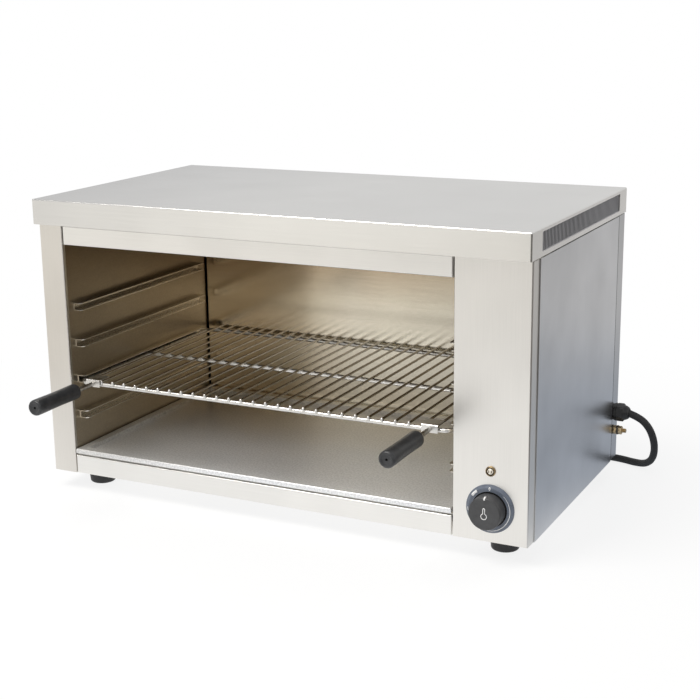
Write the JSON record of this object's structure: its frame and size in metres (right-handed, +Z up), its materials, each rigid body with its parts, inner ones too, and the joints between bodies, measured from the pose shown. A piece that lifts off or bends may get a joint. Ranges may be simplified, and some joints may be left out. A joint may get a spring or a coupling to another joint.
{
  "type": "cheese melter",
  "caption": "Open-fronted counter-top grill of folded stainless sheet, with a sliding wire rack on side runners, a pull-out crumb tray and a rotary heat control.",
  "frame": {"origin": "on the bench, at the middle of the space that the appliance fills without its supply cord", "axes": "+Z up; the open front faces -Y; the controls are on the +X side"},
  "size_m": [0.7194, 0.6409, 0.3864],
  "materials": {
    "outer_steel": "fine grained stainless steel sheet, satin",
    "vent_steel": "slotted stainless sheet, dull",
    "chamber_steel": "plain mill-finish stainless sheet",
    "tray_steel": "plain stainless sheet",
    "rack_wire": "bright chromed wire",
    "grip_plastic": "black thermoset, satin",
    "foot_rubber": "black moulded rubber",
    "zinc_steel": "zinc plated steel",
    "heater_tube": "dark annealed steel tube",
    "knob_plastic": "dark grey moulded plastic, satin",
    "bezel_plastic": "blue-grey plastic, gloss",
    "thermostat_plastic": "moulded plastic and ceramic",
    "terminal_plastic": "moulded terminal block",
    "lamp_ring": "turned brass ring",
    "lamp_lens": "pale faceted lens",
    "gland_plastic": "black polyamide",
    "stud_brass": "brass, dull",
    "cord_rubber": "black rubber sheath",
    "plug_rubber": "black moulded rubber",
    "pin_brass": "nickel plated brass"
  },
  "bodies": {
    "casing": {"back_panel": "outer_steel", "base_pan": "outer_steel", "bonding_nuts": "stud_brass", "bonding_stud": "stud_brass", "bottom_rail": "outer_steel", "case_screws": "zinc_steel", "casing_roof": "outer_steel", "chamber_floor": "chamber_steel", "control_panel": "outer_steel", "cord_coil": "cord_rubber", "cord_lead": "cord_rubber", "cord_tail": "cord_rubber", "feet": "foot_rubber", "foot_screws": "zinc_steel", "gland_body": "gland_plastic", "gland_locknut": "gland_plastic", "gland_nut": "gland_plastic", "heater_1": "heater_tube", "heater_2": "heater_tube", "heater_3": "heater_tube", "heater_hangers": "zinc_steel", "knob_bezel": "bezel_plastic", "left_liner": "chamber_steel", "left_post": "outer_steel", "left_runner_1": "chamber_steel", "left_runner_2": "chamber_steel", "left_runner_3": "chamber_steel", "left_runner_4": "chamber_steel", "left_side_panel": "outer_steel", "pilot_bezel": "lamp_ring", "pilot_body": "thermostat_plastic", "pilot_lens": "lamp_lens", "plug_body": "plug_rubber", "plug_pins": "pin_brass", "rear_liner": "chamber_steel", "reflector": "chamber_steel", "right_liner": "chamber_steel", "right_runner_1": "chamber_steel", "right_runner_2": "chamber_steel", "right_runner_3": "chamber_steel", "right_runner_4": "chamber_steel", "right_side_panel": "outer_steel", "terminal_block": "terminal_plastic", "thermostat_body": "thermostat_plastic", "thermostat_sensor": "zinc_steel", "top_cover": "outer_steel", "top_rail": "outer_steel", "vent_screen_left": "vent_steel", "vent_screen_right": "vent_steel"},
    "rack": {"rack_frame": "rack_wire", "rack_rods": "rack_wire", "rack_bracket_left": "rack_wire", "rack_bracket_right": "rack_wire", "grip_left": "grip_plastic", "grip_right": "grip_plastic"},
    "tray": {"crumb_tray": "tray_steel"},
    "knob": {"knob": "knob_plastic", "thermostat_shaft": "zinc_steel"}
  },
  "joints": [
    {"name": "rack_slide", "type": "slide", "parent": "casing", "child": "rack", "axis": [0, -1, 0], "range_m": [0, 0.33]},
    {"name": "tray_slide", "type": "slide", "parent": "casing", "child": "tray", "axis": [0, -1, 0], "range_m": [0, 0.32]},
    {"name": "knob_turn", "type": "hinge", "parent": "casing", "child": "knob", "pos_m": [0.27435, -0.12335, 0.0646], "axis": [0, 1, 0], "range_deg": [0, 270]}
  ]
}
